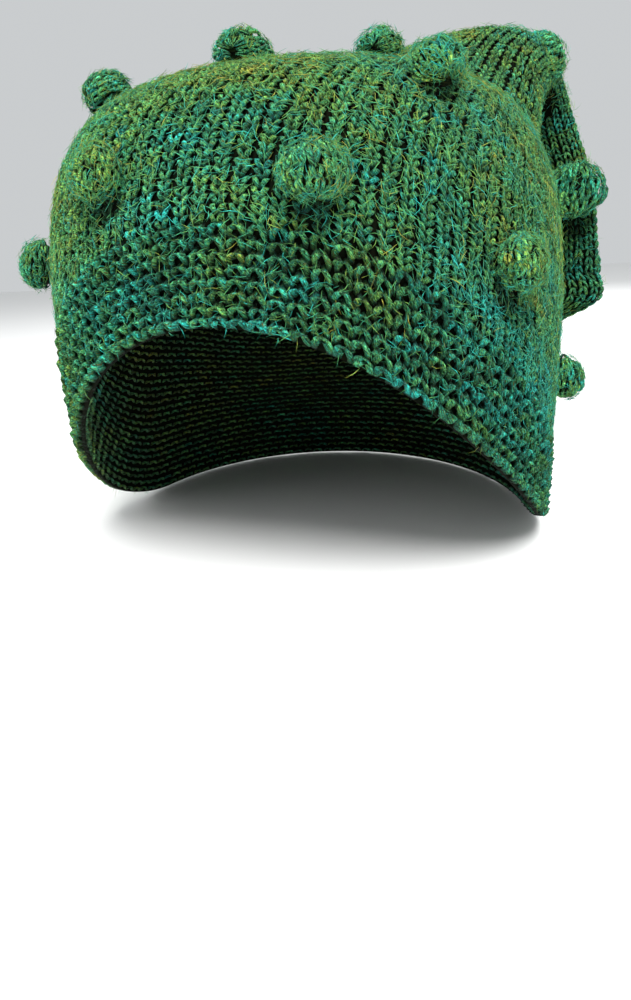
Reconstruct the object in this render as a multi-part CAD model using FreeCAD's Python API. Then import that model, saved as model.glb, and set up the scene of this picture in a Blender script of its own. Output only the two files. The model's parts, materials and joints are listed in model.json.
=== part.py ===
"""A hand-knitted pull-on hat with bobbles and a floppy tail, in millimetres.

The hat is modelled as worn: +Z up, the wearer's face towards -Y, the wearer's left at +X.
The origin is the middle of the head opening, at the height of the nape, the lowest point of the rim.
"""
import FreeCAD, Part
import math
import os

Vec = FreeCAD.Vector

# ---- dome -----------------------------------------------------------------
WIDEST_R = 95.4          # outer radius at the widest row, about 600 mm around
WIDEST_Z = 16.6          # height of that row above the nape
DOME_H = 146.0           # widest row to the top of the crown
DOME_POWER = 4.45        # how square the shoulder of the dome is
RIM_R = 92.4             # outer radius at the nape, where the band draws in
WALL = 4.5               # thickness of the knitted cloth
DOME_POINTS = 22
FOOT_Z = -8.0            # the dome is drawn down to here before the rim is cut

# ---- rim and band ----------------------------------------------------------
RIM_RISE = 92.0          # the rim at the forehead is this far above the nape
RIM_FLAT_DEG = 105.0     # from the forehead round to where the rim is down at the nape's height
BAND_W = 26.0            # width of the purl band, along the cloth
EDGE_W = 3.0             # width of the cast-on edge
EDGE_PROUD = 0.5         # how far the cast-on edge stands out on each face
RIM_STEP_DEG = 7.5

# ---- tail ------------------------------------------------------------------
TAIL_DEG = 148.0         # direction in which the tail hangs, turned from the forehead towards +X
FOLD_AXIS = (90.0, 153.0)    # crease that the tail folds on: distance out along TAIL_DEG, height
BEND_AXIS = (102.0, 112.0)   # soft bend half way down the tail
BEND_MAX_DEG = 75.0
TAIL_T = 7.5             # half thickness of the tail, two layers of cloth
BEND_W = 65.0            # half width of the tail at the soft bend
TAIL_W = 68.0            # half width lower down
CUFF_TOP_Z = 93.0        # the crease above the closed end of the tail
CUFF_CORNER_Z = 84.0     # the corners of the closed end
TIP_Z = 64.0             # the lowest point of its rounded edge
TIP_T = 9.0              # half thickness of the rounded edge where it starts
GAP = 0.4                # air between neighbours that move apart
# cross-sections: distance out, height, half width, half depth
TAIL_TOP = [(99, 150.5, 56.5, 8.0), (99.5, 146, 58.5, 8.2), (100.5, 138, 61.5, 8.2)]
TAIL_BODY = [(104, 98, TAIL_W - 0.5, TAIL_T), (104.5, CUFF_TOP_Z, TAIL_W, TAIL_T)]
TAIL_LIP = [
    (104.5, CUFF_TOP_Z, TAIL_W, 8.4), (105, 89, TAIL_W + 2, 9.4), (105, CUFF_CORNER_Z, TAIL_W + 1, 9.2),
]
# the same for the puffed fold, then how far each section leans over in degrees
FOLD = [
    (24, 158, 42, 6, 82), (40, 165, 52, 11, 78), (58, 171, 55, 13, 82),
    (76, 171.5, 55, 13.5, 105), (90, 166, 54, 12, 135), (97, 157.5, 55, 9.0, 160),
]

# ---- bobbles ---------------------------------------------------------------
BOBBLE_R = 8.9           # half width, across the cloth
BOBBLE_L = 8.4           # half length, up the cloth
BOBBLE_T = 7.0           # half depth
BOBBLE_OUT = 3.6         # its middle stands this far off the cloth
BOBBLE_LEAN = 0.35       # how far a bobble at the tail's side edge leans out sideways
# degrees from the forehead towards +X, degrees up the dome, size
CROWN_BOBBLES = [
    (-60.5, 45.4, 1.04), (-19.6, 52.5, 0.93), (19.1, 50.9, 0.96), (54.6, 42.8, 0.98), (97.9, 23.9, 1.12),
    (130, 17.5, 1.0), (161, 16.5, 0.96), (-167, 22, 1.03), (-131, 25.5, 0.98), (-95, 29, 1.0),
    (-57.5, 65.9, 0.99), (-10.9, 77, 1.04), (45.9, 60.7, 0.89), (-106, 44, 0.97), (-149, 39.4, 1.02),
    (-120, 60, 0.95), (-164, 53.8, 1.0), (56.5, 74.4, 0.87), (-112, 76, 0.98),
]
FOLD_BOBBLE = (45.5, 80, 169)             # along the crease, outwards, height
FOLD_BOBBLE_LEAN = (0.75, -0.25, 0.6)     # the way it points, in the same directions
FOLD_BOBBLE_SIZE = 1.1
# along the crease, height, side (-1 faces the head, 1 faces away) and size
UPPER_BOBBLES = [(58, 127, -1, 1.25), (-36, 138, 1, 1.05), (16, 139, 1, 1.0)]
LOWER_BOBBLES = [(54, 98, 1, 1.0), (-12, 96, 1, 1.0), (-55, 98, 1, 1.0)]


def save(shape, name):
    shape.exportStep(f"parts/{name}.step")
    solids = len(shape.Solids)
    print(f"{name}: {solids} solid, {shape.Volume / 1000:.2f} cm3, valid {shape.isValid()}")


def around(degrees, radius, height):
    """A point at this bearing, turned from the forehead (-Y) towards +X."""
    a = math.radians(degrees)
    return Vec(radius * math.sin(a), -radius * math.cos(a), height)


# ---- dome, band and edge ---------------------------------------------------
def dome_point(climb, radius, height):
    """The outline's point at this angle up from the widest row."""
    a = math.radians(climb)
    c, s = math.cos(a) / radius, math.sin(a) / height
    reach = (abs(c) ** DOME_POWER + abs(s) ** DOME_POWER) ** (-1 / DOME_POWER)
    return Vec(max(reach * math.cos(a), 0), 0, WIDEST_Z + reach * math.sin(a))


def dome_points(inset):
    """The dome's outline from the widest row to the top, drawn in by inset."""
    steps = range(DOME_POINTS + 1)
    return [dome_point(90 * i / DOME_POINTS, WIDEST_R - inset, DOME_H - inset) for i in steps]


def dome_solid(inset, foot):
    """The dome as a filled solid, from the height foot up."""
    lower = Vec(RIM_R - inset, 0, foot)
    points = dome_points(inset)
    top = Vec(0, 0, points[-1].z)
    curve = Part.BSplineCurve()
    curve.interpolate([lower] + points[:-1] + [top])
    base = [top, Vec(0, 0, foot), lower]
    wire = Part.Wire([curve.toShape()] + [Part.makeLine(a, b) for a, b in zip(base, base[1:])])
    return Part.Face(wire).revolve(Vec(0, 0, 0), Vec(0, 0, 1), 360)


def rim_height(degrees):
    share = min(1, abs(degrees) / RIM_FLAT_DEG)
    return RIM_RISE * (1 + math.cos(math.pi * share)) / 2


def rim_slope(degrees):
    """How steeply the rim climbs at this bearing."""
    climb = rim_height(degrees + 0.5) - rim_height(degrees - 0.5)
    return climb / (math.radians(1) * WIDEST_R)


def below_rim(width):
    """Everything below a line that runs at this distance above the rim, along the cloth."""
    steps = int(RIM_FLAT_DEG / RIM_STEP_DEG)
    line = []
    for i in range(steps + 1):
        bearing = i * RIM_STEP_DEG
        y = -WIDEST_R * math.cos(math.radians(bearing))
        height = rim_height(bearing) + width * math.hypot(1, rim_slope(bearing))
        line.append(Vec(-2 * WIDEST_R, y, height))
    curve = Part.BSplineCurve()
    curve.interpolate(line)
    front = line[0] + (line[0] - line[1])
    floor = -WIDEST_R
    corners = [
        line[-1], Vec(line[-1].x, 2 * WIDEST_R, line[-1].z), Vec(line[-1].x, 2 * WIDEST_R, floor),
        Vec(front.x, 3 * front.y, floor), Vec(front.x, 3 * front.y, front.z), front, line[0],
    ]
    edges = [curve.toShape()] + [Part.makeLine(a, b) for a, b in zip(corners, corners[1:])]
    return Part.Face(Part.Wire(edges)).extrude(Vec(4 * WIDEST_R, 0, 0))


# ---- tail ------------------------------------------------------------------
OUT = around(TAIL_DEG, 1, 0)              # away from the head
ALONG = around(TAIL_DEG - 90, 1, 0)       # along the crease
UP = Vec(0, 0, 1)


def at(along, out, height):
    """A point in the tail's own directions."""
    return ALONG * along + OUT * out + UP * height


def oval(out, height, half_width, half_depth, lean_deg=0.0):
    """One cross-section of the tail. lean_deg 0 is level, and 90 faces away from the head."""
    ring = Part.Wire([Part.Ellipse(Vec(0, 0, 0), half_width, half_depth).toShape()])
    a = math.radians(lean_deg)
    depth = OUT * math.cos(a) - UP * math.sin(a)
    turn = FreeCAD.Rotation(ALONG, depth, ALONG.cross(depth), "XYZ")
    ring.Placement = FreeCAD.Placement(at(0, out, height), turn)
    return ring


def loft(sections):
    return Part.makeLoft([oval(*s) for s in sections], True)


def rounded_end(out, height, half_width, half_depth, direction):
    """Level sections that close an end of the tail in a half round. direction is -1 down, 1 up."""
    sections = []
    for share in (0.35, 0.65, 0.85, 0.97):
        depth = half_depth * math.sqrt(1 - share * share)
        sections.append((out, height + direction * share * half_depth, half_width, depth))
    return sections


def make_tail_upper():
    """The tail from the fold down to the soft bend."""
    out, bend_z = BEND_AXIS
    clear = TAIL_T / math.cos(math.radians(BEND_MAX_DEG / 2)) + GAP
    foot = (out, bend_z + clear, BEND_W, TAIL_T)
    return loft(TAIL_TOP + [foot] + rounded_end(*foot, -1))


def make_tail_lower():
    """The tail from the soft bend down to the crease above its end."""
    out, bend_z = BEND_AXIS
    clear = TAIL_T / math.cos(math.radians(BEND_MAX_DEG / 2)) + GAP
    top = (out, bend_z - clear, BEND_W + 1, TAIL_T)
    return loft(rounded_end(*top, 1)[::-1] + [top] + TAIL_BODY)


def make_tail_end():
    """The closed end of the tail: a thicker lip with a rounded lower edge."""
    out = TAIL_LIP[-1][0]
    sections = []
    for share in (0.72, 0.44, 0.2, 0.05):
        height = TIP_Z + share * (CUFF_CORNER_Z - TIP_Z)
        sections.append((out, height, TAIL_W * math.sqrt(share), TIP_T * share ** 0.3))
    return loft(TAIL_LIP + sections)


def make_fold(dome):
    """The puffed fold where the cloth leaves the crown and turns down into the tail."""
    rings = []
    for out, height, half_width, half_depth, lean in FOLD:
        rings.append(oval(out, height, half_width, half_depth, lean - 180))
    fold = Part.makeLoft(rings, True).cut(dome)
    return max(fold.Solids, key=lambda s: s.Volume)


# ---- bobbles ---------------------------------------------------------------
def bobble(foot, normal, up, scale):
    """A stuffed knot of knitting, wider than its neck, standing on the cloth at foot."""
    ball = Part.makeSphere(1)
    side = up.cross(normal).normalize()
    rise = normal.cross(side).normalize()
    middle = foot + normal * BOBBLE_OUT * scale
    size = FreeCAD.Matrix()
    size.scale(BOBBLE_R * scale, BOBBLE_L * scale, BOBBLE_T * scale)
    turn = FreeCAD.Placement(middle, FreeCAD.Rotation(side, rise, normal, "XYZ")).toMatrix()
    return ball.transformGeometry(turn.multiply(size))


def dome_foot(degrees, climb):
    """A point on the dome, this far round and this far up, with its outward normal."""
    level, power = dome_point(climb, WIDEST_R, DOME_H), DOME_POWER - 1
    outward = (level.x / WIDEST_R) ** power / WIDEST_R
    upward = ((level.z - WIDEST_Z) / DOME_H) ** power / DOME_H
    return around(degrees, level.x, level.z), around(degrees, outward, upward).normalize()


def make_crown_bobbles(dome):
    for i, (degrees, climb, scale) in enumerate(CROWN_BOBBLES, 1):
        foot, normal = dome_foot(degrees, climb)
        up = UP if normal.z < 0.95 else around(0, 1, 0)
        save(bobble(foot, normal, up, scale).cut(dome), f"crown_bobble_{i:02d}")


def make_tail_bobbles(fold, upper, lower, end):
    knot = bobble(at(*FOLD_BOBBLE), at(*FOLD_BOBBLE_LEAN).normalize(), OUT, FOLD_BOBBLE_SIZE)
    save(knot.cut(fold), "tail_bobble_01")
    places = [(upper, *p) for p in UPPER_BOBBLES] + [(lower, *p) for p in LOWER_BOBBLES]
    for number, (cloth, along, height, side, scale) in enumerate(places, 2):
        foot = on_cloth(cloth, along, height, side)
        edge = BOBBLE_LEAN * along / TAIL_W
        normal = (OUT * side + ALONG * edge).normalize()
        save(bobble(foot, normal, UP, scale).cut(cloth).cut(end), f"tail_bobble_{number:02d}")


def on_cloth(cloth, along, height, side):
    """The point on one face of the tail."""
    line = Part.makeLine(at(along, 0, height), at(along, 2 * BEND_AXIS[0], height))
    inside = cloth.common(line)
    ends = sorted((v.Point for v in inside.Vertexes), key=lambda p: p.dot(OUT))
    return ends[0] if side < 0 else ends[-1]


def main():
    os.makedirs("parts", exist_ok=True)
    filled = dome_solid(0, FOOT_Z)
    cloth = filled.cut(dome_solid(WALL, 2 * FOOT_Z))
    rim, edge_top, band_top = below_rim(0), below_rim(EDGE_W), below_rim(BAND_W)
    edge_wall = dome_solid(-EDGE_PROUD, FOOT_Z).cut(dome_solid(WALL + EDGE_PROUD, 2 * FOOT_Z))
    save(edge_wall.common(edge_top).cut(rim), "cast_on_edge")
    save(cloth.common(band_top).cut(edge_top), "brim_band")
    save(cloth.cut(band_top), "crown_body")
    fold = make_fold(filled)
    upper, lower, end = make_tail_upper(), make_tail_lower(), make_tail_end()
    save(fold, "fold_crest")
    save(upper, "tail_upper")
    save(lower, "tail_lower")
    save(end, "tail_end")
    make_crown_bobbles(filled)
    make_tail_bobbles(fold, upper, lower, end)


main()
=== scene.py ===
"""The looks of a hand-knitted bobble hat with a folded tail, stitch by stitch."""
import bpy
import json
import math
import numpy as np
from mathutils import Matrix, Vector


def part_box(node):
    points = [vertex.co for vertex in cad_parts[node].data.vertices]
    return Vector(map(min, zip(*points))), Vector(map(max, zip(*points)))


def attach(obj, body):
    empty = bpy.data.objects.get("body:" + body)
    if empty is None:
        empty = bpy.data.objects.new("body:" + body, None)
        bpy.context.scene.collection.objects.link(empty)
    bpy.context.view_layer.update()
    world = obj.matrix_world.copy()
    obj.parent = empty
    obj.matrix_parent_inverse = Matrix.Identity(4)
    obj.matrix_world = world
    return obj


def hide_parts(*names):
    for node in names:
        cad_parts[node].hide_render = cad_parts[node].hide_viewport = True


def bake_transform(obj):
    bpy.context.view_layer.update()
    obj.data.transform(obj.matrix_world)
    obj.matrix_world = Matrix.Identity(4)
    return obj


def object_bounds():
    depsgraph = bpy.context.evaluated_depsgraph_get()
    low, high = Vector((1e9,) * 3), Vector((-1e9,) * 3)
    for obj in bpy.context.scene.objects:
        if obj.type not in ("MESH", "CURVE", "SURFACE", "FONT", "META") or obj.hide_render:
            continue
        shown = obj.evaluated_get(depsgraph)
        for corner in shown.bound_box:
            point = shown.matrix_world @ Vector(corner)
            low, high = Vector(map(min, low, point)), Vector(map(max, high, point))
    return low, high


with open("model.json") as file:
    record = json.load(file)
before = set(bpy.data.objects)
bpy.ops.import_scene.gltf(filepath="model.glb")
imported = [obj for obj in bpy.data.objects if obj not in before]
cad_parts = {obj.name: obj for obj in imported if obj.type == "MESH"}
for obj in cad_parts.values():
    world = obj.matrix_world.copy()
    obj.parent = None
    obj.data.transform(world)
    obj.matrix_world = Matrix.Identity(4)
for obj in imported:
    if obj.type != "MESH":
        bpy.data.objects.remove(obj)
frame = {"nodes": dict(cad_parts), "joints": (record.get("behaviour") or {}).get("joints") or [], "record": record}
CAD_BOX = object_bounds()
RNG = np.random.default_rng(7)
MM = 0.001

# ---- the dome, in millimetres, as the frame's crown and band have it ---------
CROWN_LOW, CROWN_HIGH = (np.array(c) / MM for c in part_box("crown_body"))
WIDEST_R = (CROWN_HIGH[0] - CROWN_LOW[0]) / 2
TOP_Z = CROWN_HIGH[2]
WIDEST_Z = 16.6
DOME_H = TOP_Z - WIDEST_Z
DOME_POWER = 4.45
RIM_R = 92.4
RIM_FOOT_Z = -8.0
RIM_RISE = 92.0
RIM_FLAT_DEG = 105.0

# ---- the tail's directions, from the axis of its fold hinge ------------------
JOINTS = {j["name"]: j for j in frame["joints"]}
ALONG = np.array(JOINTS["tail_fold"]["axis"])
OUT = np.array([-ALONG[1], ALONG[0], 0.0])
UP = np.array([0.0, 0.0, 1.0])
TAIL_DEG = math.degrees(math.atan2(OUT[0], -OUT[1]))

# ---- gauge -------------------------------------------------------------------
ROW = 3.25               # height of a row at the forehead
BAND_ROWS = 8
DOME_ROWS = 57           # rows from the rim to where the crown turns into the fold
HALF_STEPS = 120         # points along half a round
YARN_SCALE = (1.6, 4.8)  # least and greatest wale a stitch's depth follows, in millimetres
CLOTH_SINK = 1.3         # the middle of the yarn lies this far under the cloth's face
LINING_SINK = 3.4        # and the middle of the yarn seen from inside lies this far under it


def smoothstep(x, low, high):
    """0 before low, 1 after high and smooth between; low may be the greater."""
    t = np.clip((x - low) / (high - low), 0, 1)
    return t * t * (3 - 2 * t)


# ---- the cloth's shape ---------------------------------------------------------
def dome_radius(z):
    z = np.asarray(z, float)
    rise = np.clip((z - WIDEST_Z) / DOME_H, 0, 1)
    draw = np.clip((WIDEST_Z - z) / (WIDEST_Z - RIM_FOOT_Z), 0, 1)
    return WIDEST_R * (1 - rise ** DOME_POWER) ** (1 / DOME_POWER) - (WIDEST_R - RIM_R) * draw ** 2


def rim_height(degrees):
    turned = np.abs((np.asarray(degrees, float) + 180) % 360 - 180)
    return RIM_RISE * (1 + np.cos(math.pi * np.minimum(1, turned / RIM_FLAT_DEG))) / 2


def rim_spread(degrees):
    """How much further apart rows lie, measured straight up, where the rim climbs."""
    slope = (rim_height(degrees + 0.5) - rim_height(degrees - 0.5)) / (math.radians(1) * WIDEST_R)
    return np.hypot(1, slope)


def dome_height(radius):
    share = np.clip(np.asarray(radius) / WIDEST_R, 0, 1)
    return WIDEST_Z + DOME_H * (1 - share ** DOME_POWER) ** (1 / DOME_POWER)


def spaced(line, count):
    """The same line with its points evenly spaced."""
    along = np.concatenate([[0], np.cumsum(np.linalg.norm(np.diff(line, axis=0), axis=1))])
    at = np.linspace(0, along[-1], count)
    return np.stack([np.interp(at, along, line[:, k]) for k in range(line.shape[1])], axis=1)


def rim_bearings(side):
    """Evenly spaced bearings along half the rim, in degrees, from opposite the tail round to it."""
    return TAIL_DEG - 180 + side * np.linspace(0, 180, HALF_STEPS + 1)


def wale(bearing, end):
    """One wale up the dome: straight up the wall, then straight over the top to where the fold starts."""
    a, low = math.radians(bearing), float(rim_height(bearing))
    z = np.linspace(low, max(low, WIDEST_Z), 12)[:-1]
    r = dome_radius(z)
    wall = np.stack([r * math.sin(a), -r * math.cos(a), z], axis=1)
    r = float(dome_radius(max(low, WIDEST_Z)))
    start = np.array([r * math.sin(a), -r * math.cos(a)])
    share = np.linspace(0, 1, 300) ** 4
    flat = start + (end - start) * share[:, None]
    top = np.concatenate([flat, dome_height(np.linalg.norm(flat, axis=1))[:, None]], axis=1)
    line = np.concatenate([wall, top])
    along = np.concatenate([[0], np.cumsum(np.linalg.norm(np.diff(line, axis=0), axis=1))])
    band = BAND_ROWS * ROW * float(rim_spread(bearing))
    rows = np.arange(DOME_ROWS + 1)
    at = np.interp(rows, [0, BAND_ROWS, DOME_ROWS], [0, band, along[-1]])
    return np.stack([np.interp(at, along, line[:, k]) for k in range(3)], axis=1)


# the fold and the tail: outer face (out, height), inner face (out, height), half width, squareness
TAIL_KEYS = np.array([
    (10, 164.5, 76, 149.0, 66, 2.6), (26, 170.5, 79, 150.5, 62, 2.6), (42, 177.5, 81, 152.0, 59, 2.7),
    (58, 183.5, 84, 153.0, 56, 2.8), (74, 185.0, 86.5, 153.5, 53, 2.8), (88, 182.0, 88.5, 153.5, 51, 2.7),
    (99, 175.5, 90.5, 152.5, 50, 2.6), (106, 165.5, 92, 149.5, 51, 2.5), (109.5, 153.5, 93, 144.0, 54, 2.4),
    (110.5, 139.5, 93.5, 134.0, 59.5, 2.3), (110.5, 118.0, 94.5, 116.0, 65, 2.3),
    (111.5, 101.0, 96, 100.5, 67, 2.3),
    (112.0, 94.5, 97, 94.5, 67.3, 2.3), (114, 91.0, 95.5, 91.0, 70, 2.2), (114.3, 84.0, 96, 84.0, 69, 2.2),
    (113.5, 77.0, 97, 77.0, 58, 2.2), (112, 70.0, 98.5, 70.0, 42, 2.1), (109, 65.5, 101.5, 65.5, 22, 2),
    (106, 64.0, 104.5, 64.0, 2, 2),
])
MORPH_ROWS = 12               # rounds over which the dome gives way to the fold


def tail_rows():
    """The row number of each key: a row for each ROW of the outer face, and more where the end closes."""
    steps = np.diff(TAIL_KEYS, axis=0)
    runs = np.linalg.norm(steps[:, [0, 1, 4]] * [1, 1, 0.45], axis=1)
    return DOME_ROWS + np.concatenate([[0], np.cumsum(runs)]) / ROW


KEY_ROWS = tail_rows()
LAST_ROW = math.ceil(KEY_ROWS[-1])


def curve_through(rows, values, at):
    """A smooth curve through the keys, with no overshoot to speak of."""
    slope = np.gradient(values, rows)
    i = int(np.clip(np.searchsorted(rows, at) - 1, 0, len(rows) - 2))
    span = rows[i + 1] - rows[i]
    t = np.clip((at - rows[i]) / span, 0, 1)
    a, b = values[i], values[i + 1]
    return ((2 * t ** 3 - 3 * t ** 2 + 1) * a + (t ** 3 - 2 * t ** 2 + t) * span * slope[i]
            + (3 * t ** 2 - 2 * t ** 3) * b + (t ** 3 - t ** 2) * span * slope[i + 1])


def tail_round(row, side):
    """Half a round of the fold or the tail, from its outer face to its inner one."""
    key = [curve_through(KEY_ROWS, TAIL_KEYS[:, k], row) for k in range(6)]
    outer, inner, half_width = np.array(key[:2]), np.array(key[2:4]), key[4]
    turn = np.linspace(0, math.pi, 200)
    c, s = np.cos(turn), np.sin(turn)
    power = 2 / key[5]
    depth, across = np.sign(c) * np.abs(c) ** power, np.abs(s) ** power
    flat = (outer + inner) / 2 + (outer - inner) / 2 * depth[:, None]
    line = side * half_width * across[:, None] * ALONG + flat[:, :1] * OUT + flat[:, 1:] * UP
    return spaced(line, HALF_STEPS + 1)


def both_sides(half):
    """One whole round: from the front or outer face, by the +X side, and back by the other."""
    return np.concatenate([half(1), half(-1)[::-1][1:]])


def hat_rounds():
    """Every round of the hat, from the rim to the tail's tip."""
    bearings = both_sides(rim_bearings)
    first = both_sides(lambda side: tail_round(DOME_ROWS, side))
    dome = np.stack([wale(b, e[:2]) for b, e in zip(bearings, first)], axis=1)
    rounds = list(dome)
    for row in range(DOME_ROWS + 1, LAST_ROW + 1):
        left = 1 - smoothstep(row, DOME_ROWS, DOME_ROWS + MORPH_ROWS)
        rounds.append(both_sides(lambda side: tail_round(row, side)) + left * (dome[-1] - first))
    return np.stack(rounds)


class Cloth:
    """A knitted surface as a grid of points, with normals: v counts rows, u goes once round."""

    def __init__(self, points, first_row=0.0, rows_apart=1.0, closed=True):
        self.points, self.first, self.apart, self.closed = points, first_row, rows_apart, closed
        across = np.gradient(points, axis=1)
        if closed:
            across[:, 0] = across[:, -1] = (points[:, 1] - points[:, -2]) / 2
        up = np.gradient(points, axis=0)
        normals = np.cross(across, up)
        self.normals = normals / np.maximum(np.linalg.norm(normals, axis=2, keepdims=True), 1e-9)

    def at(self, u, v):
        """Points and normals at these places."""
        rows, columns = self.points.shape[:2]
        u = np.asarray(u) % 1 if self.closed else np.clip(u, 0, 1)
        x = u * (columns - 1)
        y = np.clip((np.asarray(v) - self.first) / self.apart, 0, rows - 1.001)
        i, j = np.minimum(x.astype(int), columns - 2), y.astype(int)
        fx, fy = (x - i)[..., None], (y - j)[..., None]
        found = []
        for grid in (self.points, self.normals):
            low = grid[j, i] * (1 - fx) + grid[j, i + 1] * fx
            high = grid[j + 1, i] * (1 - fx) + grid[j + 1, i + 1] * fx
            found.append(low * (1 - fy) + high * fy)
        normal = found[1] / np.maximum(np.linalg.norm(found[1], axis=-1, keepdims=True), 1e-9)
        return found[0], normal


HAT = Cloth(hat_rounds())


# ---- unit shapes, modelled once and copied ------------------------------------
def deselect():
    if bpy.context.object and bpy.context.object.mode != "OBJECT":
        bpy.ops.object.mode_set(mode="OBJECT")
    bpy.ops.object.select_all(action="DESELECT")


def strand(route, sides, thickness):
    """A short length of yarn: a ring of points pushed out along the route. Returns its mesh data."""
    deselect()
    bpy.ops.mesh.primitive_circle_add(vertices=sides, radius=thickness[0], fill_type="NGON")
    unit = bpy.context.object
    ways = [Vector(b) - Vector(a) for a, b in zip(route, route[1:])]
    unit.rotation_euler = ways[0].to_track_quat("Z", "Y").to_euler()
    unit.location = route[0]
    bpy.ops.object.transform_apply(location=True, rotation=True, scale=True)
    bpy.ops.object.mode_set(mode="EDIT")
    for i, way in enumerate(ways):
        bpy.ops.mesh.extrude_region_move(TRANSFORM_OT_translate={"value": way})
        grow = thickness[i + 1] / thickness[i]
        here = Vector(route[i + 1])
        bpy.ops.transform.resize(value=(grow, grow, grow), center_override=here)
    bpy.ops.object.mode_set(mode="OBJECT")
    mesh = unit.data
    points = np.array([v.co for v in mesh.vertices], float)
    faces = [tuple(p.vertices) for p in mesh.polygons]
    bpy.data.objects.remove(unit)
    return points, faces


def join_units(units):
    points, faces, n = [], [], 0
    for p, f in units:
        points.append(p)
        faces += [tuple(i + n for i in face) for face in f]
        n += len(p)
    return np.concatenate(points), faces


def mirrored(unit):
    """The other leg of a stitch, its faces turned so that they still point out."""
    points, faces = unit
    return points * [-1, 1, 1] + [1, 0, 0], [face[::-1] for face in faces]


def knit_stitch():
    """One V of stockinette in a cell one wide and one high. Its depth is in cell widths."""
    route = [(0.46, -0.22, -0.16), (0.37, 0.10, 0.10), (0.26, 0.50, 0.17), (0.19, 0.90, 0.10),
             (0.17, 1.22, -0.16)]
    leg = strand(route, 5, (0.11, 0.145, 0.16, 0.15, 0.11))
    return join_units([leg, mirrored(leg)])


def purl_loop():
    """The head of a purl: a tall arch of yarn, its two feet sunk in the cloth."""
    route = [(0.16, -0.22, -0.22), (0.15, 0.22, 0.06), (0.29, 0.60, 0.20), (0.50, 0.72, 0.25),
             (0.71, 0.60, 0.20), (0.85, 0.22, 0.06), (0.84, -0.22, -0.22)]
    return strand(route, 5, (0.12, 0.165, 0.18, 0.18, 0.18, 0.165, 0.12))


def purl_bump():
    """One purl: the head of a loop, and half a stitch along and a little deeper, the foot of the next."""
    points, faces = purl_loop()
    foot = points * [1, -1, 0.9] + [0.5, 1.05, -0.14]
    return join_units([(points, faces), (foot, [face[::-1] for face in faces])])


def ridge_unit():
    """A plain low arch for the inside of the hat."""
    route = [(0.02, 0.1, -0.2), (0.3, 0.5, 0.15), (0.7, 0.5, 0.15), (0.98, 0.1, -0.2)]
    return strand(route, 4, (0.12, 0.19, 0.19, 0.12))


def fibre_unit():
    """One loose fibre along X from 0 to 1, three-sided and pointed at both ends."""
    return strand([(0.0, 0, 0), (0.45, 0, 0), (1.0, 0, 0)], 3, (0.6, 1.0, 0.15))


KNIT, PURL, LOOP, RIDGE, FIBRE = knit_stitch(), purl_bump(), purl_loop(), ridge_unit(), fibre_unit()


# ---- where the bobbles stand -----------------------------------------------------
BOBBLE_HALF = np.array([8.9, 8.4, 7.0])     # across, up and off the cloth
BOBBLE_OUT = 3.6                            # its middle stands this far off the cloth
BOBBLE_WALES, BOBBLE_ROWS = 9, 6
BOBBLE_FIBRES = 380
# degrees from the forehead towards +X, degrees up the dome, size
CROWN_BOBBLES = [
    (-60.5, 45.4, 1.04), (-19.6, 52.5, 0.93), (19.1, 50.9, 0.96), (54.6, 42.8, 0.98), (97.9, 23.9, 1.12),
    (130, 17.5, 1.0), (161, 16.5, 0.96), (-167, 22, 1.03), (-131, 25.5, 0.98), (-95, 29, 1.0),
    (-57.5, 65.9, 0.99), (-10.9, 77, 1.04), (45.9, 60.7, 0.89), (-106, 44, 0.97), (-149, 39.4, 1.02),
    (-120, 60, 0.95), (-164, 53.8, 1.0), (56.5, 74.4, 0.87), (-112, 76, 0.98),
]
# along the crease, outwards, height, which way it faces in those directions, and size
TAIL_BOBBLES = [
    (45.5, 80, 169, (0.75, -0.25, 0.6), 1.1), (58, 96.5, 127, (0.3, -1, 0), 1.25),
    (-36, 108, 138, (-0.19, 1, 0), 1.05), (16, 108.5, 139, (0.08, 1, 0), 1.0),
    (54, 108, 98, (0.28, 1, 0), 1.0), (-12, 111.5, 96, (-0.06, 1, 0), 1.0),
    (-55, 108, 98, (-0.29, 1, 0), 1.0),
]


def dome_place(degrees, climb):
    """A point on the dome, this far round and this far up, and its outward normal."""
    a, c = math.radians(degrees), math.radians(climb)
    flat, tall = math.cos(c) / WIDEST_R, math.sin(c) / DOME_H
    reach = (flat ** DOME_POWER + tall ** DOME_POWER) ** (-1 / DOME_POWER)
    r, z = reach * math.cos(c), WIDEST_Z + reach * math.sin(c)
    outward = (r / WIDEST_R) ** (DOME_POWER - 1) / WIDEST_R
    upward = ((z - WIDEST_Z) / DOME_H) ** (DOME_POWER - 1) / DOME_H
    foot = np.array([r * math.sin(a), -r * math.cos(a), z])
    return foot, np.array([outward * math.sin(a), -outward * math.cos(a), upward])


def bobble_frame(node):
    """The middle of a bobble with its directions across, up and off the cloth, and its size."""
    number = int(node[-2:]) - 1
    up = UP
    if node.startswith("crown"):
        degrees, climb, size = CROWN_BOBBLES[number]
        foot, normal = dome_place(degrees, climb)
    else:
        along, out, height, way, size = TAIL_BOBBLES[number]
        foot = ALONG * along + OUT * out + UP * height
        normal = ALONG * way[0] + OUT * way[1] + UP * way[2]
        up = OUT if number == 0 else UP
    normal = normal / np.linalg.norm(normal)
    if node.startswith("crown") and normal[2] > 0.95:
        up = np.array([0.0, 1.0, 0.0])
    across = np.cross(up, normal)
    across /= np.linalg.norm(across)
    return foot + normal * BOBBLE_OUT * size, across, np.cross(normal, across), normal, size


BOBBLE_NODES = sorted(n for n in frame["nodes"] if "bobble" in n)
BOBBLE_FRAMES = [bobble_frame(node) for node in BOBBLE_NODES]


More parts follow.
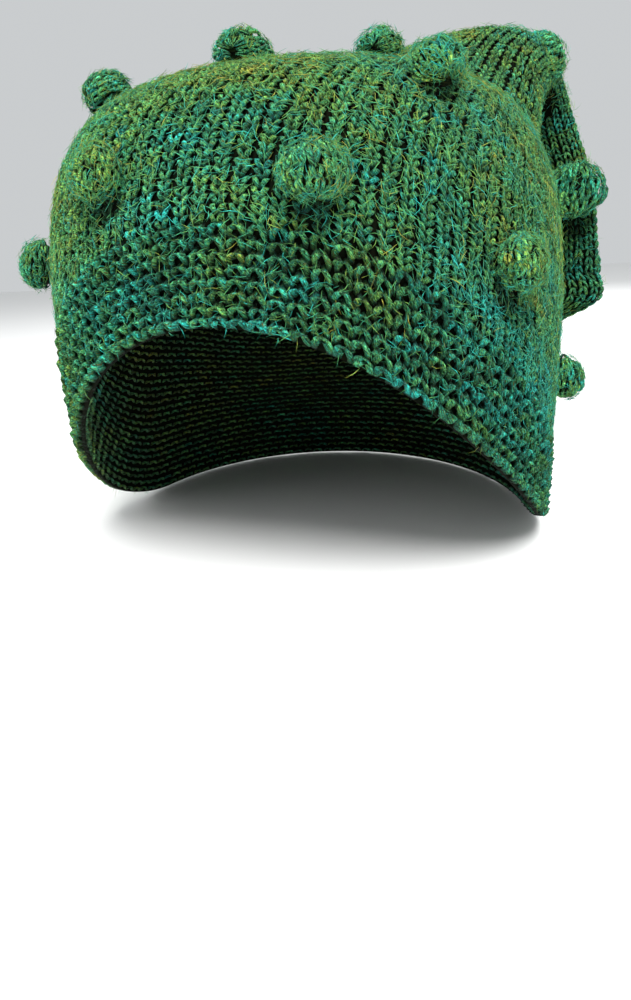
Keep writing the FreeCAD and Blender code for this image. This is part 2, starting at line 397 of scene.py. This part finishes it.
# ---- making meshes -------------------------------------------------------------
def add_mesh(name, points, faces, attributes=None, uv=None):
    """An object from arrays, in metres. faces is a list of (array of corners per face)."""
    mesh = bpy.data.meshes.new(name)
    loops = np.concatenate([f.ravel() for f in faces])
    sizes = np.concatenate([np.full(len(f), f.shape[1]) for f in faces])
    mesh.vertices.add(len(points))
    mesh.vertices.foreach_set("co", np.asarray(points, np.float32).ravel() * MM)
    mesh.loops.add(len(loops))
    mesh.loops.foreach_set("vertex_index", loops.astype(np.int32))
    mesh.polygons.add(len(sizes))
    mesh.polygons.foreach_set("loop_start", np.concatenate([[0], np.cumsum(sizes)[:-1]]).astype(np.int32))
    mesh.polygons.foreach_set("use_smooth", np.full(len(sizes), True))
    mesh.update(calc_edges=True)
    for key, values in (attributes or {}).items():
        layer = mesh.attributes.new(key, "FLOAT", "POINT")
        layer.data.foreach_set("value", np.asarray(values, np.float32))
    if uv is not None:
        layer = mesh.uv_layers.new(name="yarn")
        layer.data.foreach_set("uv", np.asarray(uv, np.float32)[loops].ravel())
    mesh.validate()
    piece = bpy.data.objects.new(name, mesh)
    bpy.context.scene.collection.objects.link(piece)
    return piece


def face_sets(faces, copies, size):
    """The faces of many copies of one unit, grouped by how many corners they have."""
    sets = []
    for corners in sorted({len(f) for f in faces}):
        one = np.array([f for f in faces if len(f) == corners])
        sets.append((one[None] + size * np.arange(copies)[:, None, None]).reshape(-1, corners))
    return sets


def yarn_colour(row, place, seed=0.0):
    """How teal the yarn is, from 0 olive to 1 turquoise: it drifts along each round and between rounds."""
    p, r = place * 2 * math.pi, row
    drift = (np.sin(3 * p + 0.31 * r + seed) + np.sin(5 * p - 0.17 * r + 1.3 + seed)
             + np.sin(11 * p + 0.83 * r + 2.1) * 0.8 + np.sin(23 * p - 1.7 * r + 0.4) * 0.6
             + np.sin(1.9 * r + 2 * p) * 0.7)
    side = 0.12 * np.sin(p) + 0.20 * smoothstep(r, 34, 3)
    return 0.42 + 0.065 * drift + side


TUCK_DROP, TUCK_IN = 9.2, 4.0       # the middle of the hollow, below and behind the bobble's middle
TUCK_NEAR, TUCK_FAR = 3.0, 8.0      # it is deepest within one and ends at the other
# how far the hollow sinks, and how strongly painted shade darkens the stitches in it
TUCK_DEPTH, TUCK_PAINTED_SHADE = 1.2, 0.8


def tuck(places):
    """How much each place just below a bobble is pulled in out of sight and darkened with painted shade, from 0 to
    1.
    """
    deep = np.zeros(places.shape[:-1])
    for middle, _, rise, normal, size in BOBBLE_FRAMES:
        below = middle - rise * TUCK_DROP * size * (1 - abs(normal[2])) - normal * TUCK_IN * size
        away = np.linalg.norm((places - below), axis=-1)
        deep = np.maximum(deep, smoothstep(away, TUCK_FAR * size, TUCK_NEAR * size))
    return deep


def lay_stitches(name, cloth, unit, u, v, wide, high=1.0, sink=CLOTH_SINK, lift=1.0, jitter=0.028,
                 colour=None, inward=False):
    """Copies of a stitch wrapped onto the cloth, their cells' lower corners at u, v."""
    points, faces = unit
    count = len(u)
    wide = np.broadcast_to(wide, u.shape)
    wander = RNG.normal(0, jitter, (count, 3))
    swell = 1 + RNG.normal(0, 0.05, count)
    x = (points[None, :, 0] - 0.5) * swell[:, None] + 0.5 + wander[:, :1]
    y = (points[None, :, 1] - 0.5) * swell[:, None] + 0.5 + wander[:, 1:2]
    lean = RNG.normal(0, 0.04, count)[:, None]
    x = x + lean * (points[None, :, 1] - 0.5)
    uu = u[:, None] + x * wide[:, None]
    vv = v[:, None] + y * high
    at, normal = cloth.at(uu, vv)
    here, _ = cloth.at(u + 0.5 * wide, v + 0.5 * high)
    beside, _ = cloth.at(u + 1.5 * wide, v + 0.5 * high)
    size = np.clip(np.linalg.norm(beside - here, axis=-1), *YARN_SCALE)
    depth = (points[None, :, 2] * lift + wander[:, 2:]) * size[:, None]
    side = -1 if inward else 1
    places = at + normal * (side * depth - sink)[..., None]
    sunk_and_shaded = tuck(places) if cloth is HAT and not inward else 0
    places = places - normal * (TUCK_DEPTH * sunk_and_shaded * np.ones(len(points)))[..., None]
    mix = yarn_colour(v, u) if colour is None else colour
    mix = np.clip(mix + RNG.normal(0, 0.09, count), 0, 1)
    tone = RNG.random(count)[:, None]
    # shade is random tone between stitches times painted shade: raised darkens each strand towards its ends, where
    # it dips into the cloth
    raised = smoothstep(points[:, 2], -0.14, 0.34)
    attributes = {"mix": np.repeat(mix, len(points)), "shade": (0.45 + 0.55 * tone) * raised}
    # painted shade: the stitches in the hollow just below a bobble are darkened
    attributes["shade"] = (attributes["shade"] * (1 - TUCK_PAINTED_SHADE * sunk_and_shaded)).ravel()
    along = points[:, 1] + 9 * tone
    across = points[:, 0] + 0.7 * points[:, 2] + 0.35 * points[:, 1] + 17 * tone
    uv = np.stack([along, across], axis=-1)
    sets = face_sets(faces, count, len(points))
    if inward:
        sets = [s[:, ::-1] for s in sets]
    return add_mesh(name, places.reshape(-1, 3), sets, attributes, uv.reshape(-1, 2))


def cells(cloth, rows, wales, smallest=1.5, part=(0.0, 1.0)):
    """The lower corners of the cells of these rows, less those squeezed shut in a crease."""
    columns = np.arange(int(round(part[0] * wales)), int(round(part[1] * wales)))
    v, c = np.meshgrid(np.asarray(rows, float), columns, indexing="ij")
    u, v = c.ravel() / wales, v.ravel()
    low, _ = cloth.at(u + 0.5 / wales, v)
    high, _ = cloth.at(u + 0.5 / wales, np.minimum(v + 1, LAST_ROW))
    keep = np.linalg.norm(high - low, axis=-1) > smallest
    return u[keep], v[keep]


# ---- materials -------------------------------------------------------------------
def link(tree, a, b):
    tree.links.new(a, b)


def ramp(tree, stops):
    node = tree.nodes.new("ShaderNodeValToRGB")
    node.color_ramp.interpolation = "LINEAR"
    elements = node.color_ramp.elements
    while len(elements) < len(stops):
        elements.new(0.5)
    for element, (place, colour) in zip(elements, stops):
        element.position = place
        element.color = (*colour, 1)
    return node


class Nodes:
    """Short ways to add the nodes of one tree. Every value is a number or another node's output."""

    def __init__(self, tree):
        self.tree, self.new = tree, tree.nodes.new
        self.where = self.new("ShaderNodeTexCoord")

    def put(self, socket, value):
        if isinstance(value, tuple):
            socket.default_value = (*value, 1)
        elif isinstance(value, (int, float)):
            socket.default_value = value
        else:
            link(self.tree, value, socket)

    def place(self, source, stretch=None):
        """The Object or UV coordinates, stretched if need be."""
        if not stretch:
            return self.where.outputs[source]
        mapping = self.new("ShaderNodeMapping")
        mapping.inputs["Scale"].default_value = stretch
        link(self.tree, self.where.outputs[source], mapping.inputs["Vector"])
        return mapping.outputs["Vector"]

    def noise(self, scale, detail, source="Object", stretch=None):
        node = self.new("ShaderNodeTexNoise")
        for key, value in (("Scale", scale), ("Detail", detail), ("Roughness", 0.6)):
            node.inputs[key].default_value = value
        link(self.tree, self.place(source, stretch), node.inputs["Vector"])
        return node.outputs["Fac"]

    def maths(self, operation, a, b, clamp=False):
        node = self.new("ShaderNodeMath")
        node.operation, node.use_clamp = operation, clamp
        for socket, value in zip(node.inputs, (a, b)):
            self.put(socket, value)
        return node.outputs[0]

    def mixed(self, factor, a, b, blend="MIX"):
        node = self.new("ShaderNodeMix")
        node.data_type, node.blend_type = "RGBA", blend
        for socket, value in zip((node.inputs[0], node.inputs[6], node.inputs[7]), (factor, a, b)):
            self.put(socket, value)
        return node.outputs[2]

    def ramped(self, value, stops):
        node = ramp(self.tree, stops)
        link(self.tree, value, node.inputs[0])
        return node.outputs[0]

    def around_middle(self, value, amount):
        """A noise about 0.5 made into one about nought, and scaled."""
        return self.maths("MULTIPLY", self.maths("SUBTRACT", value, 0.5), amount)

    def hairs(self, source, width):
        """Thin curly lines: where a noise crosses its middle."""
        off = self.maths("ABSOLUTE", self.maths("SUBTRACT", source, 0.5), 0)
        return self.maths("SUBTRACT", 1, self.maths("DIVIDE", off, width), clamp=True)


# how teal a strand is, and its colour there
OLIVE_TO_TURQUOISE = [
    (0.05, (0.125, 0.150, 0.020)), (0.32, (0.056, 0.165, 0.028)), (0.58, (0.026, 0.155, 0.050)),
    (0.82, (0.010, 0.155, 0.095)), (1.0, (0.008, 0.220, 0.185)),
]
ALONG_STRAND = [(0.36, (0.08, 0.13, 0.08)), (0.50, (0.62, 0.68, 0.62)), (0.64, (1.4, 1.3, 1.3))]
OCHRE_FLECK, TURQUOISE_FLECK = (0.150, 0.100, 0.022), (0.015, 0.300, 0.270)
# painted highlight on the stray fibres that cross the strands
FIBRE_HIGHLIGHT = (5.6, 3.9, 4.0)            # times the yarn's own colour
# painted shade in the thin gaps between fibres
FIBRE_GAP_SHADE = (0.002, 0.010, 0.003)


def yarn_sockets(tree):
    for name, default in (("Mix", 0.5), ("Shade", 0.5), ("Brightness", 1.0), ("Flecks", 1.0)):
        socket = tree.interface.new_socket(name=name, in_out="INPUT", socket_type="NodeSocketFloat")
        socket.default_value = default
    tree.interface.new_socket(name="Color", in_out="OUTPUT", socket_type="NodeSocketColor")
    tree.interface.new_socket(name="Height", in_out="OUTPUT", socket_type="NodeSocketFloat")


def flecked(add, colour, amount):
    """The yarn with short ochre and turquoise flecks."""
    specks = add.new("ShaderNodeTexVoronoi")
    specks.inputs["Scale"].default_value = 1
    link(add.tree, add.place("UV", (5.0, 18.0, 1)), specks.inputs["Vector"])
    pick = add.new("ShaderNodeSeparateColor")
    link(add.tree, specks.outputs["Color"], pick.inputs[0])
    for channel, rare, strength, fleck in ((0, 0.90, 0.5, OCHRE_FLECK), (1, 0.92, 0.6, TURQUOISE_FLECK)):
        here = add.maths("MULTIPLY", add.maths("GREATER_THAN", pick.outputs[channel], rare), amount)
        colour = add.mixed(add.maths("MULTIPLY", here, strength), colour, fleck)
    return colour


def yarn_group():
    """The heathered yarn: its colour and its fibres' height, from how teal and how dark the strand is."""
    tree = bpy.data.node_groups.new("heathered_yarn", "ShaderNodeTree")
    yarn_sockets(tree)
    add = Nodes(tree)
    given, result = add.new("NodeGroupInput"), add.new("NodeGroupOutput")
    fibres = add.noise(1, 2, "UV", (2.2, 11.0, 1))
    drift = add.maths("ADD", given.outputs["Mix"], add.around_middle(add.noise(34, 3), 0.7))
    drift = add.maths("ADD", drift, add.around_middle(add.noise(1500, 2), 1.0), clamp=True)
    base = add.ramped(drift, OLIVE_TO_TURQUOISE)
    colour = add.mixed(1.0, base, add.ramped(fibres, ALONG_STRAND), "MULTIPLY")
    colour = flecked(add, colour, given.outputs["Flecks"])
    # stray fibres over the strands, real, with a painted highlight several times the yarn's colour where they
    # catch the light
    along_strand = add.hairs(add.noise(1, 2, "UV", (1.6, 6.0, 1)), 0.050)
    curls = add.maths("MAXIMUM", along_strand, add.hairs(add.noise(420, 1), 0.034))
    fibre_shine = add.mixed(1.0, base, FIBRE_HIGHLIGHT, "MULTIPLY")
    colour = add.mixed(add.maths("MULTIPLY", curls, 0.85), colour, fibre_shine)
    # thin near-black lines of painted shade, for the gaps between fibres
    gaps = add.hairs(add.noise(1, 2, "UV", (1.2, 5.0, 3)), 0.055)
    colour = add.mixed(add.maths("MULTIPLY", gaps, 0.8), colour, FIBRE_GAP_SHADE)
    dark = add.maths("ADD", 0.04, add.maths("MULTIPLY", given.outputs["Shade"], 1.85))
    value = add.maths("MULTIPLY", dark, given.outputs["Brightness"])
    level = add.new("ShaderNodeCombineColor")
    for socket in level.inputs:
        link(tree, value, socket)
    link(tree, add.mixed(1.0, colour, level.outputs[0], "MULTIPLY"), result.inputs["Color"])
    raised = add.maths("MULTIPLY", add.maths("SUBTRACT", curls, gaps), 0.5)
    link(tree, add.maths("ADD", fibres, raised), result.inputs["Height"])
    return tree


YARN = yarn_group()


def wool(name, brightness, flecks, bump, sheen, mix=None):
    """A woollen finish. mix is a fixed colour of yarn where a piece has no strands of its own."""
    material = bpy.data.materials.new(name)
    material.use_nodes = True
    tree = material.node_tree
    nodes = tree.nodes
    shader = nodes["Principled BSDF"]
    shader.inputs["Roughness"].default_value = 0.92
    shader.inputs["Specular IOR Level"].default_value = 0.08
    shader.inputs["Sheen Weight"].default_value = sheen
    shader.inputs["Sheen Roughness"].default_value = 0.45
    shader.inputs["Sheen Tint"].default_value = (0.55, 0.80, 0.62, 1)
    yarn = nodes.new("ShaderNodeGroup")
    yarn.node_tree = YARN
    yarn.inputs["Brightness"].default_value = brightness
    yarn.inputs["Flecks"].default_value = flecks
    for socket, attribute in (("Mix", "mix"), ("Shade", "shade")):
        if mix is None:
            node = nodes.new("ShaderNodeAttribute")
            node.attribute_name = attribute
            link(tree, node.outputs["Fac"], yarn.inputs[socket])
        else:
            yarn.inputs[socket].default_value = mix
    raised = nodes.new("ShaderNodeBump")
    raised.inputs["Strength"].default_value = bump
    raised.inputs["Distance"].default_value = 0.0006
    link(tree, yarn.outputs["Height"], raised.inputs["Height"])
    link(tree, yarn.outputs["Color"], shader.inputs["Base Color"])
    link(tree, raised.outputs["Normal"], shader.inputs["Normal"])
    return material


PLAIN = wool("plain_knit_wool", 0.88, 1.0, 0.9, 0.08)
BAND = wool("band_wool", 0.82, 1.0, 0.9, 0.08)
BOBBLE = wool("bobble_wool", 1.15, 1.0, 0.9, 0.10)
# painted shade: the yarn at five per cent brightness, on the backings and bobble cores, stands in for the shade in
# the gaps between stitches
PAINTED_SHADE_WOOL = wool("painted_shade_between_stitches", 0.05, 0.4, 0.5, 0.0, mix=0.3)
INSIDE = wool("inside_wool", 0.85, 0.8, 0.8, 0.25)
# the loose fibres are real; their brightness, well past the yarn's own colour, is a painted highlight
HALO = wool("loose_fibres", 2.3, 0.3, 0.0, 0.2)


def finish_piece(piece, material, body=None, nodes=()):
    piece.data.materials.append(material)
    if nodes:
        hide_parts(*nodes)
    if body:
        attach(piece, body)
    return piece


def over_fold(piece):
    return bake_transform(piece)


def over_bend(piece):
    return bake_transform(piece)


# ---- the knitted pieces ------------------------------------------------------------
WALES = 110
FOLD_ROW = DOME_ROWS           # the first round of the fold's own piece
TAIL_ROW = int(np.interp(138, TAIL_KEYS[::-1, 1][:11], KEY_ROWS[::-1][:11]))
FEWER_WALES = 74         # once stitches have been taken away towards the top
NARROW = 3.7             # wales closer together than this are drawn as the fewer ones
TAIL_WALES = 66
INSIDE_WALES, INSIDE_ROWS = 100, 52


def backing(name, cloth, first, last, sink, thick, across=160):
    """The body of the cloth under the stitches: a closed skin with an outer and an inner face."""
    rows = np.linspace(first, last, int((last - first) * 1.2) + 1)
    u = np.arange(across) / across
    uu, vv = np.meshgrid(u, rows)
    at, normal = cloth.at(uu, vv)
    layers = [at - normal * sink, at - normal * (sink + thick)]
    points = np.concatenate([layer.reshape(-1, 3) for layer in layers])
    n, m = len(rows), across
    j, i = np.meshgrid(np.arange(n - 1), np.arange(m), indexing="ij")
    k = (i + 1) % m
    face = np.stack([j * m + i, j * m + k, (j + 1) * m + k, (j + 1) * m + i], axis=-1).reshape(-1, 4)
    inner = face[:, ::-1] + n * m
    c = np.arange(m)
    d = (c + 1) % m
    low = np.stack([c, c + n * m, d + n * m, d], axis=-1)
    high = np.stack([c, d, d + n * m, c + n * m], axis=-1) + (n - 1) * m
    return add_mesh(name, points, [np.concatenate([face, inner, low, high])])


def wale_width(u, v):
    beside, _ = HAT.at(u + 1 / WALES, v)
    here, _ = HAT.at(u, v)
    return np.linalg.norm(beside - here, axis=-1)


def crown_cells(part):
    """Where the crown's stitches go: all the wales lower down, fewer where they draw together."""
    u, v = cells(HAT, range(BAND_ROWS, FOLD_ROW), WALES, part=part)
    many = wale_width(u, v) >= NARROW
    fewer_u, fewer_v = cells(HAT, range(BAND_ROWS, FOLD_ROW), FEWER_WALES, part=part)
    few = wale_width(fewer_u, fewer_v) < NARROW
    wide = np.concatenate([np.full(many.sum(), 1 / WALES), np.full(few.sum(), 1 / FEWER_WALES)])
    return np.concatenate([u[many], fewer_u[few]]), np.concatenate([v[many], fewer_v[few]]), wide


def make_crown():
    """The plain knit of the crown, in four quarters, and the cloth under it."""
    for quarter in range(4):
        u, v, wide = crown_cells((quarter / 4, (quarter + 1) / 4))
        piece = lay_stitches(f"crown_knit_{quarter + 1}", HAT, KNIT, u, v, wide)
        finish_piece(piece, PLAIN, "hat", ["crown_body"])
    under = backing("crown_under", HAT, 0, FOLD_ROW + 1, 1.9, 1.4)
    finish_piece(under, PAINTED_SHADE_WOOL, "hat")


def make_inside():
    """The purl side of the knitting, seen through the head opening."""
    for half in range(2):
        part = (half / 2, (half + 1) / 2)
        u, v = cells(HAT, range(0, INSIDE_ROWS), INSIDE_WALES, smallest=1.8, part=part)
        u = u + (v.astype(int) % 2) * 0.5 / INSIDE_WALES
        piece = lay_stitches(f"inside_purl_{half + 1}", HAT, RIDGE, u, v, 1 / INSIDE_WALES, high=1.2,
                             sink=LINING_SINK, lift=0.9, inward=True)
        finish_piece(piece, INSIDE, "hat")


def make_band():
    """The band: rounds of purl bumps."""
    u, v = cells(HAT, range(0, BAND_ROWS), WALES)
    piece = lay_stitches("band_knit", HAT, PURL, u, v, 1 / WALES, sink=0.9, lift=1.2, jitter=0.06)
    finish_piece(piece, BAND, "hat", ["brim_band"])


def make_edge():
    """The cast-on edge: a row of slanted knots along the rim."""
    u = np.arange(WALES) / WALES
    piece = lay_stitches("cast_on_knots", HAT, LOOP, u, np.full(WALES, 0.0), 1.1 / WALES, high=1.2,
                         sink=1.2, lift=1.5, jitter=0.06)
    finish_piece(piece, BAND, "hat", ["cast_on_edge"])


def make_fold():
    u, v = cells(HAT, range(FOLD_ROW, TAIL_ROW), TAIL_WALES)
    piece = lay_stitches("fold_knit", HAT, KNIT, u, v, 1 / TAIL_WALES)
    finish_piece(piece, PLAIN, None, ["fold_crest", "tail_upper"])
    over_fold(piece)
    under = backing("fold_under", HAT, FOLD_ROW, TAIL_ROW + 0.5, 1.7, 1.0, 124)
    finish_piece(under, PAINTED_SHADE_WOOL)
    over_fold(under)


def make_tail():
    u, v = cells(HAT, range(TAIL_ROW, LAST_ROW), TAIL_WALES, smallest=0.9)
    piece = lay_stitches("tail_knit", HAT, KNIT, u, v, 1 / TAIL_WALES)
    finish_piece(piece, PLAIN, None, ["tail_lower", "tail_end"])
    over_bend(piece)
    under = backing("tail_under", HAT, TAIL_ROW, LAST_ROW, 1.7, 1.0, 124)
    finish_piece(under, PAINTED_SHADE_WOOL)
    over_bend(under)


# ---- bobbles ---------------------------------------------------------------------
def bobble_cloth(node, seed):
    """The skin of a bobble as a grid: wales run from its lower pucker to its upper one."""
    middle, across, rise, normal, scale = bobble_frame(node)
    rng = np.random.default_rng(seed)
    lat = np.linspace(-1.45, 1.45, 33)
    lon = np.radians(np.linspace(-120, 120, 65))
    a, b = np.meshgrid(lon, lat)
    size = BOBBLE_HALF * scale * (1 + rng.normal(0, 0.03, 3))
    x, y, z = np.cos(b) * np.sin(a), np.sin(b), np.cos(b) * np.cos(a)
    lumps = 1 + 0.05 * np.sin(2.3 * a + rng.random() * 6) * np.cos(1.7 * b + rng.random() * 6)
    droop = -1.3 * np.maximum(z, 0) * (1 - abs(normal[2]))
    points = (middle + (x * size[0] * lumps)[..., None] * across + (z * size[2] * lumps)[..., None] * normal
              + (y * size[1] * lumps + droop)[..., None] * rise)
    return Cloth(points, 0, BOBBLE_ROWS / 32, closed=False)


def make_bobble(node, seed, body):
    """A bobble: its gathered knitting with loose fibres, and the core inside."""
    cloth = bobble_cloth(node, seed)
    v, c = np.meshgrid(np.arange(BOBBLE_ROWS, dtype=float), np.arange(BOBBLE_WALES), indexing="ij")
    u, v = c.ravel() / BOBBLE_WALES, v.ravel()
    tone = yarn_colour(v * 0.7, u * 0.13 + seed * 0.37, seed * 1.7)
    knit = lay_stitches(f"{node}_knit", cloth, KNIT, u, v, 1.2 / BOBBLE_WALES, high=1.15, sink=1.2,
                        jitter=0.1, colour=tone)
    fuzz = lay_fibres(f"{node}_fuzz", cloth, BOBBLE_FIBRES, (0.6, BOBBLE_ROWS - 0.6), reach=(1.2, 3.8),
                      part=(0.1, 0.9), shine=1.8)
    deselect()
    fuzz.select_set(True)
    knit.select_set(True)
    bpy.context.view_layer.objects.active = knit
    bpy.ops.object.join()
    finish_piece(knit, BOBBLE, body, [node])
    # the core is finished near black, in painted shade
    finish_piece(bobble_core(f"{node}_core", node), PAINTED_SHADE_WOOL, body)


def bobble_core(name, node):
    """The stuffing under a bobble's stitches."""
    middle, across, rise, normal, scale = bobble_frame(node)
    deselect()
    bpy.ops.mesh.primitive_uv_sphere_add(segments=20, ring_count=12, radius=1)
    core = bpy.context.object
    core.name = name
    size = (BOBBLE_HALF * scale - 1.9) * MM
    turn = Matrix([list(across), list(rise), list(normal)]).transposed().to_4x4()
    middle = middle - rise * 0.5 * (1 - abs(normal[2]))
    core.data.transform(Matrix.Translation(middle * MM) @ turn @ Matrix.Diagonal((*size, 1)))
    bpy.ops.object.shade_smooth()
    return core


def body_of_node(node):
    return next(b for b, names in frame["record"]["behaviour"]["bodies"].items() if node in names)


def make_bobbles():
    for seed, node in enumerate(BOBBLE_NODES, 1):
        make_bobble(node, seed, body_of_node(node))


# ---- loose fibres -------------------------------------------------------------------
FIBRE_R = 0.075
FIBRE_LIFT = 0.2         # how steeply fibres leave the cloth
CROWN_FIBRES = 13500     # on each half of the crown
FOLD_FIBRES, TAIL_FIBRES = 3500, 3000


def lay_fibres(name, cloth, count, rows, reach=(1.5, 5.5), part=(0.0, 1.0), shine=1.0):
    """Loose fibres that leave the cloth at a low angle and curl."""
    points, faces = FIBRE
    u = part[0] + RNG.random(count) * (part[1] - part[0])
    v = rows[0] + RNG.random(count) * (rows[1] - rows[0])
    base, normal = cloth.at(u, v)
    side, _ = cloth.at(u + 0.004, v)
    across = side - base
    across /= np.maximum(np.linalg.norm(across, axis=1, keepdims=True), 1e-9)
    rise = np.cross(normal, across)
    turn = RNG.random(count) * 2 * math.pi
    lifted = np.abs(RNG.normal(0, FIBRE_LIFT, count))
    way = np.cos(turn)[:, None] * across + np.sin(turn)[:, None] * rise + lifted[:, None] * normal
    way /= np.linalg.norm(way, axis=1, keepdims=True)
    other = np.cross(way, normal)
    other /= np.maximum(np.linalg.norm(other, axis=1, keepdims=True), 1e-9)
    third = np.cross(way, other)
    length = RNG.uniform(*reach, count)
    curl = RNG.normal(0, 0.5, count)
    t = points[:, 0]
    thick = FIBRE_R * RNG.uniform(0.7, 1.3, count)
    bend = curl[:, None] * (t * t)[None] * length[:, None]
    dip = -0.25 * (t * t)[None] * (lifted * length)[:, None]
    at = (base[:, None] + way[:, None] * (t[None] * length[:, None])[..., None]
          + other[:, None] * (bend + points[None, :, 1] * thick[:, None])[..., None]
          + third[:, None] * (points[None, :, 2] * thick[:, None])[..., None]
          + normal[:, None] * dip[..., None])
    at[..., 2] = np.maximum(at[..., 2], 0.4)
    mix = np.clip(yarn_colour(v, u) + RNG.normal(0, 0.22, count), 0, 1)
    shade = shine * RNG.uniform(0.35, 1, count)
    attributes = {"mix": np.repeat(mix, len(points)), "shade": np.repeat(shade, len(points))}
    uv = np.zeros((count * len(points), 2))
    return add_mesh(name, at.reshape(-1, 3), face_sets(faces, count, len(points)), attributes, uv)


def make_fibres():
    for half in range(2):
        piece = lay_fibres(f"crown_fibres_{half + 1}", HAT, CROWN_FIBRES, (0, FOLD_ROW),
                           part=(half / 2, half / 2 + 0.5))
        finish_piece(piece, HALO, "hat")
    piece = lay_fibres("fold_fibres", HAT, FOLD_FIBRES, (FOLD_ROW, TAIL_ROW))
    finish_piece(piece, HALO)
    over_fold(piece)
    piece = lay_fibres("tail_fibres", HAT, TAIL_FIBRES, (TAIL_ROW, LAST_ROW - 2))
    finish_piece(piece, HALO)
    over_bend(piece)


# ---- floor, light and camera ----------------------------------------------------------
def make_floor():
    deselect()
    bpy.ops.mesh.primitive_plane_add(size=6, location=(0, 0, CAD_BOX[0].z - 0.001))
    floor = bpy.context.object
    floor.name = "floor"
    material = bpy.data.materials.new("pale_floor")
    material.use_nodes = True
    shader = material.node_tree.nodes["Principled BSDF"]
    shader.inputs["Base Color"].default_value = (0.86, 0.86, 0.85, 1)
    shader.inputs["Roughness"].default_value = 0.6
    floor.data.materials.append(material)


def add_light(name, place, size, power, aim=(0, 0, 0.09), colour=(1, 1, 1)):
    data = bpy.data.lights.new(name, "AREA")
    data.shape, data.size, data.energy, data.color = "DISK", size, power, colour
    lamp = bpy.data.objects.new(name, data)
    lamp.location = place
    lamp.rotation_euler = (Vector(aim) - Vector(place)).to_track_quat("-Z", "Y").to_euler()
    bpy.context.scene.collection.objects.link(lamp)


def make_light():
    world = bpy.data.worlds.new("soft_room")
    world.use_nodes = True
    world.node_tree.nodes["Background"].inputs[0].default_value = (0.95, 0.98, 1.0, 1)
    world.node_tree.nodes["Background"].inputs[1].default_value = 0.62
    bpy.context.scene.world = world
    add_light("window", (0.35, -0.75, 1.25), 0.7, 31)
    add_light("fill", (-1.0, -0.7, 0.6), 1.2, 8)
    add_light("behind", (0.3, 1.0, 0.9), 0.9, 9)


CAMERA_TURN, CAMERA_DOWN, CAMERA_ROLL = 17.5, 21.71, -3.33      # degrees
CAMERA_OUT, CAMERA_SIDE, CAMERA_Z = 256.8, -1.62, 108.35
CAMERA_LENS = 22.13


def make_camera():
    """A close camera, in front of the wearer's left eye and a little above the brim."""
    data = bpy.data.cameras.new("camera")
    data.lens, data.sensor_width, data.sensor_fit = CAMERA_LENS, 36, "AUTO"
    data.clip_start, data.clip_end = 0.01, 20
    camera = bpy.data.objects.new("camera", data)
    turn = math.radians(CAMERA_TURN)
    place = Vector((CAMERA_SIDE, -CAMERA_OUT, 0))
    place.rotate(Matrix.Rotation(turn, 3, "Z"))
    camera.location = Vector((place.x, place.y, CAMERA_Z)) * MM
    look = (Matrix.Rotation(turn, 3, "Z") @ Matrix.Rotation(math.radians(90 - CAMERA_DOWN), 3, "X")
            @ Matrix.Rotation(math.radians(CAMERA_ROLL), 3, "Z"))
    camera.rotation_euler = look.to_euler()
    bpy.context.scene.collection.objects.link(camera)
    bpy.context.scene.camera = camera


make_crown()
make_inside()
make_band()
make_edge()
make_fold()
make_tail()
make_bobbles()
make_fibres()
make_floor()
make_light()
make_camera()
bpy.context.scene.view_settings.view_transform = "Standard"
